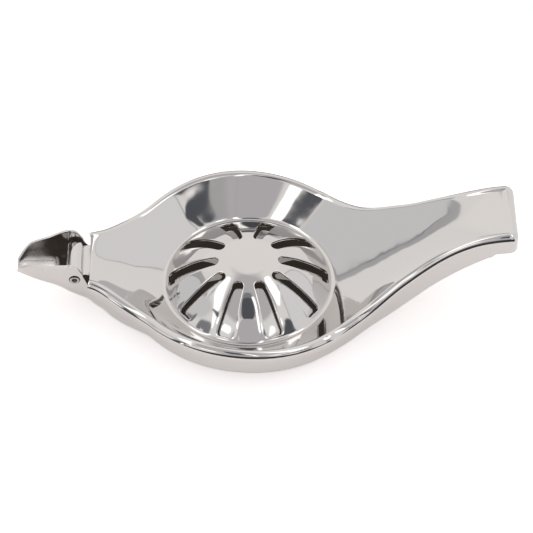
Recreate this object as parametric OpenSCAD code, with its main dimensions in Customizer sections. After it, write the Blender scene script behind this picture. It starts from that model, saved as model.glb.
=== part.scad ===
// Hinged lemon squeezer: two stamped stainless-steel leaves on one hollow hinge pin.
// The slotted press plate closes like a lid over the juice tray, whose solid dome nests under it.
// Origin: in the plane of the tray's foot ring, midway between the tip of the beak and the end of
// the handle. +X runs to the end of the handle, -X to the pouring beak, +Z is up.

/* [Sheet] */
// Thickness of both stamped sheets
sheet_t = 1; // [0.8:0.1:1.1]
// Free space between the tray's wall and the rolled skirt of the press plate round it
wall_clearance = 0.7; // [0.6:0.05:0.8]

/* [Domes] */
// Radius of the ring groove at the foot of the slotted dome
ring_r = 36; // [34:0.5:37]
// Height of the slotted dome above its ring groove
dome_h = 13.3; // [10:0.1:15]
// Radius of the flat cap on the dome
cap_r = 8; // [4:0.5:12]
// Space between the slotted dome and the solid dome under it
dome_gap = 2.5; // [2:0.1:3]

/* [Slots] */
// Number of wedge-shaped juice slots in the dome
slot_count = 10; // [6:1:11]
// Radius from the dome axis to the round inner end of a slot
slot_in_r = 12.4; // [11:0.2:15]
// Width of a slot at its inner end
slot_in_w = 4.6; // [3:0.1:5]
// Radius from the dome axis to the straight outer end of a slot
slot_out_r = 33.6; // [30:0.2:34]
// Width of a slot at its outer end
slot_out_w = 7.4; // [5:0.2:10]

/* [Bowl and rim] */
// Radius of the round bowl, measured to the outside of its rolled rim
rim_r = 53.4; // [52:0.1:55]
// Rise of the press plate's bowl for each millimetre outwards, towards the hinge
bowl_slope = 1; // [0.9:0.01:1.05]
// Rise of the press plate for each millimetre outwards, towards the handle
handle_slope = 0.68; // [0.6:0.01:0.72]
// Rise of the tray's floor for each millimetre outwards, towards the beak
tray_slope = 0.32; // [0.2:0.01:0.34]
// Outside radius of the rolled rim
roll_r = 2.5; // [2.2:0.1:3]
// Straight drop of the skirt below the roll
skirt_h = 1.5; // [1:0.1:2.5]
// Outside radius of the bend between the tray's floor and its wall
tray_bend_r = 3.4; // [3:0.1:5]

/* [Handle] */
// Distance from the dome axis to the end of the press plate's handle
handle_end_x = 110; // [106:0.5:120]
// Width of the press plate's handle
handle_w = 31.4; // [28:0.2:34]
// Distance from the dome axis at which the sides of the handle run parallel
handle_waist_x = 97; // [90:1:100]
// Radius of the hollow sides between the bowl and the handle
handle_flare_r = 76; // [70:1:84]
// Distance from the dome axis at which the handle starts to level out
handle_bend_x = 73; // [70:1:78]
// Rise of the handle's end for each millimetre outwards
handle_end_slope = 0.02; // [0:0.01:0.15]
// Depth of the dish across the handle
handle_dish = 2; // [1:0.1:3]
// Drop of the skirt round the end of the press plate's handle
end_skirt_h = 6.2; // [4:0.1:7]
// Distance from the dome axis to the end of the tray's handle channel
tray_end_x = 102; // [98:0.5:103]
// Height of the underside of the tray's handle channel at its end
tray_end_z = 31; // [28:0.5:32]

/* [Hinge] */
// Distance from the dome axis to the hinge pin
hinge_x = 72; // [71:0.1:73]
// Height of the hinge pin above the foot ring
hinge_z = 18.5; // [17.5:0.1:19]
// Distance from the dome axis to the hinge end of the press plate
neck_x = 65.8; // [65:0.1:66]
// Width of the press plate's neck at the hinge
neck_w = 30.6; // [29:0.2:32]
// Distance from the dome axis at which the sides of the neck would run parallel
neck_waist_x = 70; // [68:0.5:72]
// Radius of the hollow sides between the bowl and the neck
neck_flare_r = 14; // [12:0.5:17]
// Depth of the dish across the neck
neck_dish = 1; // [0.5:0.1:2]
// Depth of the valley that runs from the bowl into the neck, below the neck's sides
valley_depth = 4.6; // [2:0.1:5]
// Radius of the pin's shank
pin_r = 1.6; // [1.4:0.1:1.8]
// Radius of the hole through the hollow pin
pin_bore_r = 0.9; // [0.7:0.1:1.1]
// Running clearance round the pin, on the radius
pin_clearance = 0.05; // [0.03:0.01:0.08]
// Radius of the flared heads of the pin
pin_head_r = 2.1; // [2:0.1:3]
// Thickness of the flared heads of the pin
pin_head_t = 0.5; // [0.4:0.1:0.8]
// Clearance between each head of the pin and its ear
pin_head_gap = 0.06; // [0.03:0.01:0.1]
// Outside radius of the curled knuckle
knuckle_r = 3.5; // [3:0.1:3.8]
// Length of the curled knuckle
knuckle_len = 16.4; // [15:0.1:18]
// Gap between each end of the knuckle and its ear
knuckle_gap = 1.3; // [0.6:0.05:1.6]

/* [Beak] */
// Distance from the hinge pin to the tip of the beak
beak_len = 24.2; // [22:0.1:25]
// Width of the beak's rim at its tip
beak_tip_w = 6; // [5:0.5:9]
// Height of the beak's underside at its tip
beak_tip_z = 14.2; // [13:0.1:15]
// Height of the beak's rim at its tip
beak_lip_z = 17; // [16.5:0.1:19]
// Height of the ears' tops above the hinge pin
ear_rise = 7.8; // [7:0.1:8.5]

/* [Hidden] */
$fn = 96;

STEEL = [0.80, 0.78, 0.76];

// Facets of the stamped sheets
BODY_STEPS = 48;     // stations along a sheet
FLOOR_STEPS = 14;    // stations across its floor
EDGE_STEPS = 6;      // stations round its rolled or bent edge
JOINT_STEP = 0.08;   // how far the turned dome stands proud of the sheet that it runs into

plate_ring_z = 2 * sheet_t + dome_gap;
pin_hole_r = pin_r + pin_clearance;
ear_half = knuckle_len / 2 + knuckle_gap + sheet_t;
head_from_y = ear_half + pin_head_gap;
roll_lean = 30;
roll_run = roll_r * (1 + sin(roll_lean));
beak_tip_x = -hinge_x - beak_len;

// Everything is drawn from the axis of the domes, and then moved to the origin
module from_dome_axis() { translate([-(handle_end_x + beak_tip_x) / 2, 0, 0]) children(); }

function smooth_max(a, b, blend) = (a + b + sqrt((a - b) * (a - b) + blend * blend)) / 2;

function smooth_step(x, from, to) =
    let (u = min(1, max(0, (x - from) / (to - from)))) u * u * (3 - 2 * u);

// Smooth curve through stations [x, value], with x rising.
function station_slope(s, i) =
    let (a = max(i - 1, 0), b = min(i + 1, len(s) - 1)) (s[b][1] - s[a][1]) / (s[b][0] - s[a][0]);

function span_at(s, x, i = 0) = i >= len(s) - 2 || x < s[i + 1][0] ? i : span_at(s, x, i + 1);

function curve(s, x) =
    let (
        i = span_at(s, x),
        w = s[i + 1][0] - s[i][0],
        u = min(1, max(0, (x - s[i][0]) / w)),
        a = s[i][1],
        b = s[i + 1][1],
        da = station_slope(s, i) * w,
        db = station_slope(s, i + 1) * w
    )
    (2 * u * u * u - 3 * u * u + 1) * a + (u * u * u - 2 * u * u + u) * da
    + (3 * u * u - 2 * u * u * u) * b + (u * u * u - u * u) * db;

// --- Plan outline: a round bowl that flows into the handle and the neck ---

OUTLINE_BLEND = 1.2;

function lobe_half(x, inset) = sqrt(max(0, pow(rim_r - inset, 2) - x * x));

// Hollow sides: an arc out of the straight side, then a straight slope, as far as the bowl
HANDLE_SIDE_SLOPE = 0.7;
HANDLE_SIDE_END_X = 31;
NECK_SIDE_SLOPE = 0.8;
NECK_SIDE_END_X = 36;

function flare(d, radius, slope) =
    let (bent = min(d, slope * radius))
    d <= 0 ? 0 : bent * bent / (2 * radius) + slope * (d - bent);

function handle_half(x, inset) =
    handle_w / 2 - inset
    + flare(handle_waist_x - max(x, HANDLE_SIDE_END_X), handle_flare_r + inset, HANDLE_SIDE_SLOPE);

function neck_half(x, inset) =
    neck_w / 2 - inset
    + flare(neck_waist_x + min(x, -NECK_SIDE_END_X), neck_flare_r + inset, NECK_SIDE_SLOPE);

function leaf_half(x, inset) =
    smooth_max(lobe_half(x, inset), x > 0 ? handle_half(x, inset) : neck_half(x, inset), OUTLINE_BLEND);

// Change of the half width for each millimetre of x
function leaf_slope(x, inset) = leaf_half(x + 0.5, inset) - leaf_half(x - 0.5, inset);

// --- Press plate: height of its upper face ---

handle_run = handle_end_x - handle_bend_x;
neck_top_z = hinge_z + sheet_t / 2 - plate_ring_z;

// 0 towards the hinge, 1 towards the handle, by the cosine of the bearing from the handle
function handleward(x, y) = smooth_step(x / max(1, norm([x, y])), -0.3, 0.95);

function handle_rise(r) =
    let (u = max(0, r - handle_bend_x))
    handle_slope * (r - ring_r) - (handle_slope - handle_end_slope) * u * u / (2 * handle_run);

// Rise of the bowl towards the hinge by distance from the dome axis: up the bowl's side, then level
BOWL_SIDE_RUN = 10;
neck_rise_stations = [
    [ring_r, 0],
    [ring_r + BOWL_SIDE_RUN, bowl_slope * BOWL_SIDE_RUN],
    [ring_r + 16, neck_top_z - 2.6],
    [ring_r + 22, neck_top_z - 1.5],
    [neck_x, neck_top_z],
    [neck_x + 10, neck_top_z],
];

// Depth of the valley by distance from the dome axis
valley_stations = [
    [ring_r, 0],
    [ring_r + BOWL_SIDE_RUN, valley_depth],
    [ring_r + 16, valley_depth * 0.78],
    [ring_r + 22, valley_depth * 0.48],
    [neck_x, valley_depth * 0.09],
    [neck_x + 10, valley_depth * 0.09],
];

// Where the neck takes over from the round bowl, where the valley and the dish come in, and where
// the dish flattens out towards the end of the handle
NECK_FROM_X = 20;
NECK_FULL_X = 50;
VALLEY_FROM_X = 8;
VALLEY_FULL_X = 34;
DISH_FROM_X = 45;
DISH_FULL_X = 62;
FLAT_FROM_X = 80;
FLAT_FULL_X = 104;
FLAT_SHARE = 0.75;

function plate_z(x, y) =
    let (
        r = max(norm([x, y]), ring_r - 1),
        round_rise = bowl_slope * (r - ring_r),
        neck_rise = curve(neck_rise_stations, r),
        across = abs(y) / leaf_half(x, roll_run),
        inward = 1 - across * across,
        valley = curve(valley_stations, r) * inward * smooth_step(-x, VALLEY_FROM_X, VALLEY_FULL_X),
        hinge_rise = round_rise - valley
            + (neck_rise - round_rise) * smooth_step(-x, NECK_FROM_X, NECK_FULL_X),
        dish = (1 - inward * (1 - FLAT_SHARE * smooth_step(x, FLAT_FROM_X, FLAT_FULL_X)))
            * smooth_step(abs(x), DISH_FROM_X, DISH_FULL_X) * (x > 0 ? handle_dish : neck_dish)
    )
    plate_ring_z + hinge_rise + (handle_rise(r) - hinge_rise) * handleward(x, y) + dish;

// --- Juice tray: height of its underside, of its wall's top edge, and its half width ---

TRAY_BOWL_X = 40;         // the floor's round part ends here, both ways
TRAY_HANDLE_SLOPE = 0.1;  // rise of the floor outwards, towards the handle

// Lift of the floor along the tray: up the keel of the beak, level at the bowl, up the handle
tray_lift_stations = [
    [beak_tip_x, beak_tip_z - 1.2],
    [beak_tip_x + 3, beak_tip_z - 1.6],
    [beak_tip_x + 9, beak_tip_z - 4],
    [-hinge_x - 7, 7.4],
    [-hinge_x, 2.6],
    [-hinge_x + 5, 0.3],
    [-hinge_x + 12, -0.5],
    [-TRAY_BOWL_X - 10, -0.9],
    [-TRAY_BOWL_X, -0.1],
    [-TRAY_BOWL_X + 6, 0],
    [TRAY_BOWL_X - 6, 0],
    [TRAY_BOWL_X, 0.3],
    [46, 2.2],
    [53, 4.5],
    [59, 6.7],
    [67, 11],
    [75, 16],
    [tray_end_x, tray_end_z],
];

function tray_z(x, y) =
    let (
        r = norm([min(abs(x), TRAY_BOWL_X), y]),
        slope = tray_slope + (TRAY_HANDLE_SLOPE - tray_slope) * handleward(x, y)
    )
    max(0, slope * max(0, r - ring_r) + curve(tray_lift_stations, x));

tray_inset = sheet_t + wall_clearance;

// The tray's wall runs into the ears here, and its edge meets the roll a little further on
EAR_ROOT_X = -neck_x + 3;
ROLL_MEET_X = -neck_x + 14;
// From here on the tray's sections lie square to its outline
SQUARE_FROM_X = -neck_x + 16;

// Half width of the beak and the ears
beak_half_stations = [
    [beak_tip_x, beak_tip_w / 2],
    [beak_tip_x + 3.5, beak_tip_w / 2 + 3],
    [-hinge_x - 12, ear_half - 1.9],
    [-hinge_x - 4, ear_half],
    [-hinge_x - 3, ear_half],
    [-hinge_x + 4, ear_half],
    [-hinge_x + 4.2, ear_half],
    [EAR_ROOT_X, leaf_half(EAR_ROOT_X, tray_inset)],
];

function tray_half(x) =
    x < EAR_ROOT_X ? curve(beak_half_stations, x) : leaf_half(x, tray_inset);

// The beak is rounded across almost its whole width
BEAK_ROUND = 0.9;

function tray_bend(x) =
    let (round_bottom = BEAK_ROUND * tray_half(x))
    round_bottom
    + (min(tray_bend_r, round_bottom) - round_bottom) * smooth_step(x, -hinge_x, SQUARE_FROM_X);

ear_top_z = hinge_z + ear_rise;

// Height of the beak's rim and of the ears, down to the wall at the ears' root
rim_edge_stations = [
    [beak_tip_x, beak_lip_z],
    [beak_tip_x + 2.8, beak_lip_z + 3.4],
    [beak_tip_x + 6.3, ear_top_z - 3],
    [-hinge_x - 10.5, ear_top_z - 1.7],
    [-hinge_x - 4, ear_top_z],
    [-hinge_x + 0.2, ear_top_z - 0.4],
    [-hinge_x + 2.6, hinge_z + 4.2],
    [-hinge_x + 3.9, hinge_z + 0.5],
    [-hinge_x + 5.8, hinge_z - 3.2],
    [EAR_ROOT_X, hinge_z - 4],
];

UNDER_ROLL = 0.1; // height of the wall's edge above the level of the roll's centre

function under_roll_z(x) = plate_z(x, leaf_half(x, roll_run)) - roll_r * cos(roll_lean) + UNDER_ROLL;

// The roll over a point of the wall starts at a station further in by lean
function tray_edge_z(x, lean) =
    let (ends = curve(rim_edge_stations, x), under = under_roll_z(max(x - lean, -neck_x)))
    x < EAR_ROOT_X ? ends : ends + (under - ends) * smooth_step(x, EAR_ROOT_X, ROLL_MEET_X);

// --- Sheets: a grid of stations, given one skin and its thickness ---

function unit(v) = v / norm(v);

function grid_normal(g, i, j) =
    let (
        along = g[min(i + 1, len(g) - 1)][j] - g[max(i - 1, 0)][j],
        across = g[i][min(j + 1, len(g[0]) - 1)] - g[i][max(j - 1, 0)]
    )
    unit(cross(along, across));

function shifted(g, distance) = [
    for (i = [0:len(g) - 1]) [for (j = [0:len(g[0]) - 1]) g[i][j] + distance * grid_normal(g, i, j)]
];

module sheet(top, bottom) {
    n = len(top);
    m = len(top[0]);
    function t(i, j) = i * m + j;
    function b(i, j) = n * m + i * m + j;
    function halves(q) = [[q[0], q[1], q[2]], [q[0], q[2], q[3]]];
    quads = concat(
        [for (i = [0:n - 2], j = [0:m - 2]) [t(i, j), t(i, j + 1), t(i + 1, j + 1), t(i + 1, j)]],
        [for (i = [0:n - 2], j = [0:m - 2]) [b(i, j), b(i + 1, j), b(i + 1, j + 1), b(i, j + 1)]],
        [for (j = [0:m - 2]) [t(0, j + 1), t(0, j), b(0, j), b(0, j + 1)]],
        [for (j = [0:m - 2]) [t(n - 1, j), t(n - 1, j + 1), b(n - 1, j + 1), b(n - 1, j)]],
        [for (i = [0:n - 2]) [t(i, 0), t(i + 1, 0), b(i + 1, 0), b(i, 0)]],
        [for (i = [0:n - 2]) [t(i + 1, m - 1), t(i, m - 1), b(i, m - 1), b(i + 1, m - 1)]]);
    polyhedron(
        points = concat([for (row = top) each row], [for (row = bottom) each row]),
        faces = [for (q = quads) each halves(q)],
        convexity = 10);
}

// Unit normal in plan of an outline whose half width changes by slope for each millimetre of x
function plan_normal(slope) = unit([-slope, 1]);

// Direction in the corner between a side and the end, by how far each edge has been followed
function corner_turn(end_step, side_step) =
    end_step >= side_step ? 45 * side_step / end_step : 90 - 45 * end_step / side_step;

// --- Press plate ---

plate_inner_end_x = handle_end_x - roll_run;

// The skirt runs out at the hinge end of the neck, and gets deeper here
HINGE_END_SKIRT = 0.15;
HINGE_END_RUN = 4;
NECK_SKIRT_EXTRA = 1.4;
NECK_SKIRT_FROM_X = 40;
NECK_SKIRT_FULL_X = 52;
END_SKIRT_FROM = 19;
END_SKIRT_FULL = 9;

// Drop of the skirt at x
function skirt_drop(x) =
    let (
        handle_end = smooth_step(x, handle_end_x - END_SKIRT_FROM, handle_end_x - END_SKIRT_FULL),
        neck = smooth_step(-x, NECK_SKIRT_FROM_X, NECK_SKIRT_FULL_X),
        full = skirt_h + (end_skirt_h - skirt_h) * handle_end + NECK_SKIRT_EXTRA * neck
    )
    HINGE_END_SKIRT + (full - HINGE_END_SKIRT) * smooth_step(x, -neck_x, -neck_x + HINGE_END_RUN);

// Outward distance and rise from the start of the roll after q of its steps
function roll_profile(q, drop) =
    let (a = q * (90 + roll_lean) / (EDGE_STEPS - 1) - roll_lean)
    q >= EDGE_STEPS
    ? [roll_run, -roll_r * cos(roll_lean) - drop]
    : [roll_r * (sin(roll_lean) + sin(a)), roll_r * (cos(a) - cos(roll_lean))];

function plate_point(i, j) =
    let (
        x = -neck_x + (plate_inner_end_x + neck_x) * min(i, BODY_STEPS) / BODY_STEPS,
        half = leaf_half(x, roll_run),
        slope = leaf_slope(x, roll_run),
        side_step = max(0, EDGE_STEPS - j, j - EDGE_STEPS - FLOOR_STEPS),
        end_step = max(0, i - BODY_STEPS),
        k = min(FLOOR_STEPS, max(0, j - EDGE_STEPS)),
        y = half * (2 * k / FLOOR_STEPS - 1),
        hand = j < EDGE_STEPS + FLOOR_STEPS / 2 ? -1 : 1,
        side_normal = plan_normal(slope),
        turn = end_step + side_step == 0 ? 0 : corner_turn(end_step, side_step),
        out = end_step > 0 ? [cos(turn), hand * sin(turn)] : [side_normal[0], hand * side_normal[1]],
        p = roll_profile(max(side_step, end_step), skirt_drop(x))
    )
    [x + out[0] * p[0], y + out[1] * p[0], plate_z(x, y) + p[1]];

plate_grid = [
    for (i = [0:BODY_STEPS + EDGE_STEPS]) [for (j = [0:FLOOR_STEPS + 2 * EDGE_STEPS]) plate_point(i, j)]
];

// --- Juice tray ---

tray_inner_end_x = tray_end_x - tray_bend_r;
end_clearance = 0.6; // between the top of the tray's end wall and the press plate
BEAK_STEPS = 16;     // of the tray's stations, those along the beak and the ears

// Station i along the tray, closer together along the beak and the ears than along the rest
function tray_station(i) =
    let (joint_x = -neck_x + 4)
    i < BEAK_STEPS
    ? beak_tip_x + (joint_x - beak_tip_x) * i / BEAK_STEPS
    : joint_x + (tray_inner_end_x - joint_x) * min(1, (i - BEAK_STEPS) / (BODY_STEPS - BEAK_STEPS));

// Outward distance and rise from the floor's edge after q steps of the bend
function bend_profile(q, radius) =
    let (a = 90 * min(q, EDGE_STEPS - 2) / (EDGE_STEPS - 2)) [radius * sin(a), radius * (1 - cos(a))];

function tray_point(i, j) =
    let (
        x = tray_station(i),
        bend = tray_bend(x),
        square = smooth_step(x, EAR_ROOT_X, SQUARE_FROM_X),
        straight_half = tray_half(x) - bend,
        half = straight_half + (leaf_half(x, tray_inset + bend) - straight_half) * square,
        slope = leaf_slope(x, tray_inset + bend) * square,
        side_step = max(0, EDGE_STEPS - j, j - EDGE_STEPS - FLOOR_STEPS),
        end_step = max(0, i - BODY_STEPS),
        k = min(FLOOR_STEPS, max(0, j - EDGE_STEPS)),
        y = half * (2 * k / FLOOR_STEPS - 1),
        hand = j < EDGE_STEPS + FLOOR_STEPS / 2 ? -1 : 1,
        side_normal = plan_normal(slope),
        turn = end_step + side_step == 0 ? 0 : corner_turn(end_step, side_step),
        out = end_step > 0 ? [cos(turn), hand * sin(turn)] : [side_normal[0], hand * side_normal[1]],
        step = max(side_step, end_step),
        p = bend_profile(step, bend),
        floor_z = tray_z(x, y),
        bend_top = floor_z + p[1],
        wall = max(0, step - (EDGE_STEPS - 2)) / 2,
        edge_x = x + out[0] * p[0],
        edge_y = y + out[1] * p[0],
        side_z = tray_edge_z(edge_x, out[0] * (roll_run - tray_inset)),
        edge_z = end_step > 0 ? min(side_z, plate_z(edge_x, edge_y) - sheet_t - end_clearance) : side_z
    )
    [edge_x, edge_y, bend_top + (edge_z - bend_top) * wall];

tray_grid = [
    for (i = [0:BODY_STEPS + EDGE_STEPS]) [for (j = [0:FLOOR_STEPS + 2 * EDGE_STEPS]) tray_point(i, j)]
];

// --- Domes, turned about the Z axis ---

DOME_STEPS = 16;
RING_FLAT = 1.2;   // width of the flat bottom of the ring groove
RING_REACH = 1.6;  // how far the turned sheet runs up the bowl
SHEET_REACH = 0.6; // how far outside the ring groove the stamped sheet takes over

dome_foot_r = ring_r - RING_FLAT;

function dome_z(r) = let (u = max(0, r - cap_r) / (dome_foot_r - cap_r)) dome_h * (1 - u * u);

dome_curve = concat(
    [[0, dome_h]],
    [for (i = [0:DOME_STEPS]) let (r = cap_r + (dome_foot_r - cap_r) * i / DOME_STEPS) [r, dome_z(r)]]);

// Dome and ring groove as one turned sheet, with its lower face a sheet thickness down
module dome_sheet(slope) {
    face = concat(dome_curve, [[ring_r, 0], [ring_r + RING_REACH, slope * RING_REACH + JOINT_STEP]]);
    last = len(face) - 1;
    back = [
        for (i = [last:-1:0])
            let (
                a = face[max(i - 1, 0)],
                b = face[min(i + 1, last)],
                level = i == 0 || (i > last - 3 && i < last),
                n = level ? [0, 1] : unit([a[1] - b[1], b[0] - a[0]]),
                drop = sheet_t + (i == last ? 2 * JOINT_STEP : 0)
            )
            [max(0, face[i][0] - n[0] * drop), face[i][1] - n[1] * drop]
    ];
    rotate_extrude() polygon(concat(face, back));
}

module slots() {
    half_in = slot_in_w / 2;
    for (k = [0:slot_count - 1])
        rotate([0, 0, -90 + (k + 0.5) * 360 / slot_count])
            linear_extrude(height = dome_h * 3) {
                translate([slot_in_r + half_in, 0]) circle(r = half_in);
                polygon([
                    [slot_in_r + half_in, -half_in], [slot_out_r, -slot_out_w / 2],
                    [slot_out_r, slot_out_w / 2], [slot_in_r + half_in, half_in]
                ]);
            }
}

module dome_hole() { translate([0, 0, -1]) cylinder(r = ring_r + SHEET_REACH, h = dome_h * 2); }

module across_hinge(r, length) {
    translate([-hinge_x, 0, hinge_z]) rotate([90, 0, 0]) cylinder(r = r, h = length, center = true);
}

module press_plate() {
    color(STEEL) from_dome_axis() difference() {
        union() {
            difference() {
                sheet(plate_grid, shifted(plate_grid, -sheet_t));
                dome_hole();
            }
            translate([0, 0, plate_ring_z]) difference() {
                dome_sheet(bowl_slope);
                translate([0, 0, -dome_h]) slots();
            }
            across_hinge(knuckle_r, knuckle_len);
            translate([-hinge_x, -knuckle_len / 2, hinge_z - sheet_t / 2])
                cube([hinge_x - neck_x + 2, knuckle_len, sheet_t]);
        }
        across_hinge(pin_hole_r, knuckle_len * 2);
    }
}

module juice_tray() {
    color(STEEL) from_dome_axis() difference() {
        union() {
            difference() {
                sheet(shifted(tray_grid, sheet_t), tray_grid);
                dome_hole();
            }
            translate([0, 0, sheet_t]) dome_sheet(tray_slope);
        }
        across_hinge(pin_hole_r, knuckle_len * 2);
    }
}

module hinge_pin() {
    color(STEEL) from_dome_axis() difference() {
        union() {
            across_hinge(pin_r, 2 * head_from_y + pin_head_t);
            for (side = [-1, 1])
                translate([0, side * (head_from_y + pin_head_t / 2), 0]) across_hinge(pin_head_r, pin_head_t);
        }
        across_hinge(pin_bore_r, 4 * ear_half);
    }
}

press_plate();
juice_tray();
hinge_pin();
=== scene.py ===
import math

import bpy
import numpy as np
from mathutils import Matrix, Vector


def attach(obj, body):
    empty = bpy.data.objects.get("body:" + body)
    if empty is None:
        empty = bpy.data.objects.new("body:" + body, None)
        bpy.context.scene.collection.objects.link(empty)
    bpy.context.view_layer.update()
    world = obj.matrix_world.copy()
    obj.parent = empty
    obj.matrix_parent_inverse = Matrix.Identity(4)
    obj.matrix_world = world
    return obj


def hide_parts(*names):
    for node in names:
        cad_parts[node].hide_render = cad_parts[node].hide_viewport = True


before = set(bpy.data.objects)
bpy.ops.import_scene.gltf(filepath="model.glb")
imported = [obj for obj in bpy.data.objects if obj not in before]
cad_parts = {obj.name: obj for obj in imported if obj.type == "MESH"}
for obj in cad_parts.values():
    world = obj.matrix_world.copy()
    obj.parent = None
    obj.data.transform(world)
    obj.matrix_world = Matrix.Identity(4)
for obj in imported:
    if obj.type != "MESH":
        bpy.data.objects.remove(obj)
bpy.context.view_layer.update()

# --- Sizes, in millimetres from the axis of the domes ---

MM = 0.001
SHEET = 1.0
WALL_CLEARANCE = 0.7

RING_R = 36.0
RING_FLAT = 1.2
DOME_H = 13.3
CAP_R = 8.0
DOME_GAP = 2.5
SLOTS = 10
SLOT_IN_R = 12.4
SLOT_IN_W = 4.6
SLOT_OUT_R = 33.6
SLOT_OUT_W = 7.4
SLOT_CORNER_R = 1.3

RIM_R = 53.36
BOWL_SLOPE = 1.0
HANDLE_SLOPE = 0.68
TRAY_SLOPE = 0.32
TRAY_HANDLE_SLOPE = 0.1
ROLL_R = 2.5
ROLL_LEAN = 30.0
SKIRT_H = 1.5
TRAY_BEND_R = 3.4

HANDLE_END_X = 110.0
HANDLE_W = 31.4
HANDLE_WAIST_X = 97.0
HANDLE_FLARE_R = 76.0
HANDLE_BEND_X = 73.0
HANDLE_END_SLOPE = 0.019
HANDLE_DISH = 2.0
END_SKIRT_H = 6.2
TRAY_END_X = 102.0
TRAY_END_Z = 31.0

HINGE_X = 72.0
HINGE_Z = 18.5
NECK_X = 65.8
NECK_W = 30.6
NECK_WAIST_X = 70.0
NECK_FLARE_R = 14.0
NECK_DISH = 1.0
VALLEY_DEPTH = 4.6
PIN_R = 1.6
PIN_BORE_R = 0.9
PIN_HEAD_R = 2.1
PIN_HEAD_T = 0.5
PIN_HEAD_GAP = 0.06
KNUCKLE_R = 3.5
KNUCKLE_LEN = 16.4
KNUCKLE_GAP = 1.3

BEAK_LEN = 24.2
BEAK_TIP_W = 6.0
BEAK_TIP_Z = 14.2
BEAK_LIP_Z = 17.0
EAR_RISE = 7.8

FILLET = 0.4              # softening where a slope meets the ring groove
OUTLINE_BLEND = 1.2       # softening where the bowl's outline meets the hollow sides
PLATE_RING_Z = 2 * SHEET + DOME_GAP
DOME_FOOT_R = RING_R - RING_FLAT
ROLL_RUN = ROLL_R * (1 + math.sin(math.radians(ROLL_LEAN)))
BEAK_TIP_X = -HINGE_X - BEAK_LEN
EAR_HALF = KNUCKLE_LEN / 2 + KNUCKLE_GAP + SHEET
TRAY_INSET = SHEET + WALL_CLEARANCE
MIDDLE_X = (HANDLE_END_X + BEAK_TIP_X) / 2   # the origin lies here


# --- Shapes of the two stamped sheets ---

def smooth_max(a, b, blend):
    return (a + b + np.sqrt((a - b) ** 2 + blend ** 2)) / 2


def smooth_step(x, start, end):
    u = np.clip((x - start) / (end - start), 0, 1)
    return u * u * (3 - 2 * u)


def curve(stations, x):
    """Smooth curve through stations (x, value), with x rising."""
    s = np.array(stations, float)
    x = np.asarray(x, float)
    n = len(s)
    i = np.clip(np.searchsorted(s[:, 0], x, side="right") - 1, 0, n - 2)
    lo, hi = np.maximum(np.arange(n) - 1, 0), np.minimum(np.arange(n) + 1, n - 1)
    slope = (s[hi, 1] - s[lo, 1]) / (s[hi, 0] - s[lo, 0])
    w = s[i + 1, 0] - s[i, 0]
    u = np.clip((x - s[i, 0]) / w, 0, 1)
    a, b, da, db = s[i, 1], s[i + 1, 1], slope[i] * w, slope[i + 1] * w
    return ((2 * u ** 3 - 3 * u ** 2 + 1) * a + (u ** 3 - 2 * u ** 2 + u) * da
            + (3 * u ** 2 - 2 * u ** 3) * b + (u ** 3 - u ** 2) * db)


def flare(d, radius, slope):
    """Widening at a distance d past the place where a side stops running straight."""
    bent = np.minimum(d, slope * radius)
    return np.where(d <= 0, 0, bent ** 2 / (2 * radius) + slope * (d - bent))


# Hollow sides: an arc out of the straight side, then a straight slope, as far as the bowl
HANDLE_SIDE_SLOPE = 0.7
HANDLE_SIDE_END_X = 31
NECK_SIDE_SLOPE = 0.8
NECK_SIDE_END_X = 36


def leaf_half(x, inset):
    """Half width of the outline at x, moved in by inset."""
    lobe = np.sqrt(np.maximum(0, (RIM_R - inset) ** 2 - x ** 2))
    from_handle = HANDLE_WAIST_X - np.maximum(x, HANDLE_SIDE_END_X)
    handle = HANDLE_W / 2 - inset + flare(from_handle, HANDLE_FLARE_R + inset, HANDLE_SIDE_SLOPE)
    from_neck = NECK_WAIST_X + np.minimum(x, -NECK_SIDE_END_X)
    neck = NECK_W / 2 - inset + flare(from_neck, NECK_FLARE_R + inset, NECK_SIDE_SLOPE)
    return smooth_max(lobe, np.where(x > 0, handle, neck), OUTLINE_BLEND)


def leaf_slope(x, inset):
    """Change of the half width for each millimetre of x."""
    return leaf_half(x + 0.5, inset) - leaf_half(x - 0.5, inset)


def press_half(x):
    """Half width of the press plate, up to where its rim starts to roll."""
    return leaf_half(x, ROLL_RUN)


def press_slope(x):
    return leaf_slope(x, ROLL_RUN)


# Rise towards the hinge by distance from the dome axis: up the bowl's side, then level
BOWL_SIDE_RUN = 10
NECK_TOP_Z = HINGE_Z + SHEET / 2 - PLATE_RING_Z
NECK_RISE = [
    (RING_R, 0),
    (RING_R + BOWL_SIDE_RUN, BOWL_SLOPE * BOWL_SIDE_RUN),
    (RING_R + 16, NECK_TOP_Z - 2.6),
    (RING_R + 22, NECK_TOP_Z - 1.5),
    (NECK_X, NECK_TOP_Z),
    (NECK_X + 10, NECK_TOP_Z),
]

# Depth of the valley by distance from the dome axis
VALLEY = [
    (RING_R, 0),
    (RING_R + BOWL_SIDE_RUN, VALLEY_DEPTH),
    (RING_R + 16, VALLEY_DEPTH * 0.78),
    (RING_R + 22, VALLEY_DEPTH * 0.48),
    (NECK_X, VALLEY_DEPTH * 0.09),
    (NECK_X + 10, VALLEY_DEPTH * 0.09),
]


# Cosine of the bearing from the handle, where the handle's slope comes in and where it is full
HANDLEWARD_FROM = -0.3
HANDLEWARD_FULL = 0.95


def handleward(x, y):
    """0 towards the hinge, 1 towards the handle."""
    return smooth_step(x / np.maximum(1, np.hypot(x, y)), HANDLEWARD_FROM, HANDLEWARD_FULL)


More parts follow.
